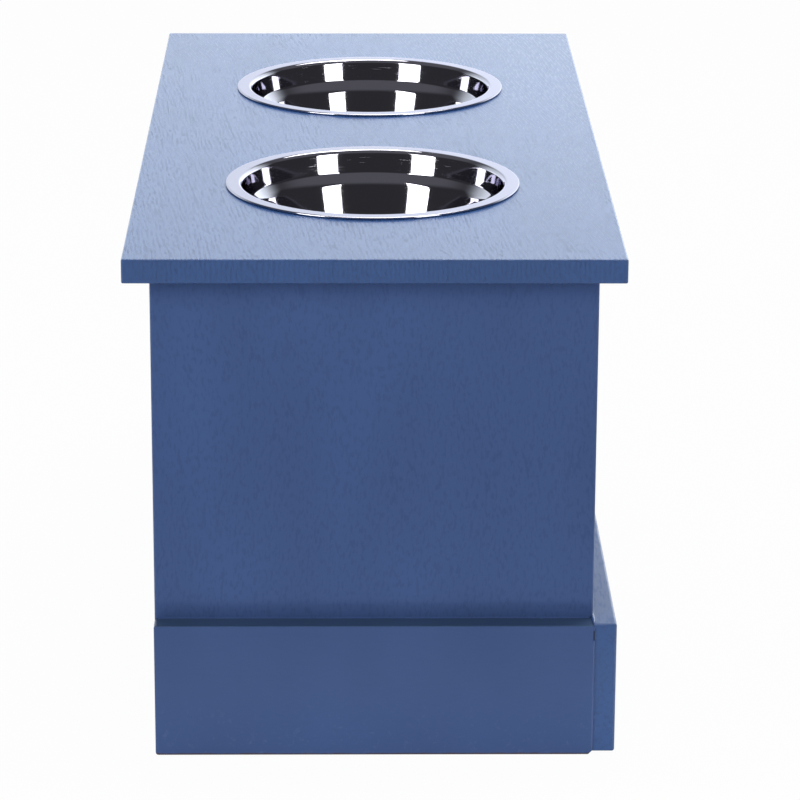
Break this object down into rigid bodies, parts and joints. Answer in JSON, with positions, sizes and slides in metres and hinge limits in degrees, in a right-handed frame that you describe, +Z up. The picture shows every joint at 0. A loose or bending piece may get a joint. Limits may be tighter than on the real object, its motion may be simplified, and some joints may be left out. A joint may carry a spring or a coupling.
{
  "type": "elevated dog feeder with storage",
  "caption": "Raised painted timber feeding station: a storage chest with skirting boards under a hinged overhanging lid, which holds drop-in polished steel bowls.",
  "frame": {"origin": "on the floor, under the middle of the lid", "axes": "+X along the chest's length towards its right-hand end, -Y out of its front, +Z up"},
  "size_m": [0.74, 0.343, 0.3639],
  "materials": {
    "painted_timber": "satin blue paint brushed over open-grained timber",
    "bare_timber": "planed, unfinished softwood",
    "polished_steel": "pressed stainless steel sheet, mirror polished",
    "zinc_steel": "bright zinc plated steel",
    "felt": "pressed dark felt"
  },
  "bodies": {
    "cabinet": {"end_panel_left": "painted_timber", "end_panel_right": "painted_timber", "front_panel": "painted_timber", "back_panel": "painted_timber", "floor_board": "bare_timber", "skirting_left": "painted_timber", "skirting_right": "painted_timber", "skirting_front": "painted_timber", "floor_cleat_front": "bare_timber", "floor_cleat_back": "bare_timber", "floor_cleat_left": "bare_timber", "floor_cleat_right": "bare_timber", "corner_post_front_left": "bare_timber", "corner_post_front_right": "bare_timber", "corner_post_back_left": "bare_timber", "corner_post_back_right": "bare_timber", "hinge_left_back_leaf": "zinc_steel", "hinge_right_back_leaf": "zinc_steel", "hinge_left_pin": "zinc_steel", "hinge_right_pin": "zinc_steel", "hinge_screws_back": "zinc_steel", "post_screws": "zinc_steel", "cleat_screws": "zinc_steel", "skirting_screws": "zinc_steel", "floor_screws": "zinc_steel"},
    "lid": {"lid_panel": "painted_timber", "lid_bumpers": "felt", "hinge_left_lid_leaf": "zinc_steel", "hinge_right_lid_leaf": "zinc_steel", "hinge_screws_lid": "zinc_steel"},
    "bowl_left": {"bowl_left": "polished_steel"},
    "bowl_right": {"bowl_right": "polished_steel"}
  },
  "joints": [
    {"name": "lid_hinge", "type": "hinge", "parent": "cabinet", "child": "lid", "pos_m": [0, 0.1568, 0.3417], "axis": [-1, 0, 0], "range_deg": [0, 100]},
    {"name": "bowl_left_lift", "type": "slide", "parent": "lid", "child": "bowl_left", "axis": [0, 0, 1], "range_m": [0, 0.09]},
    {"name": "bowl_right_lift", "type": "slide", "parent": "lid", "child": "bowl_right", "axis": [0, 0, 1], "range_m": [0, 0.09]}
  ]
}
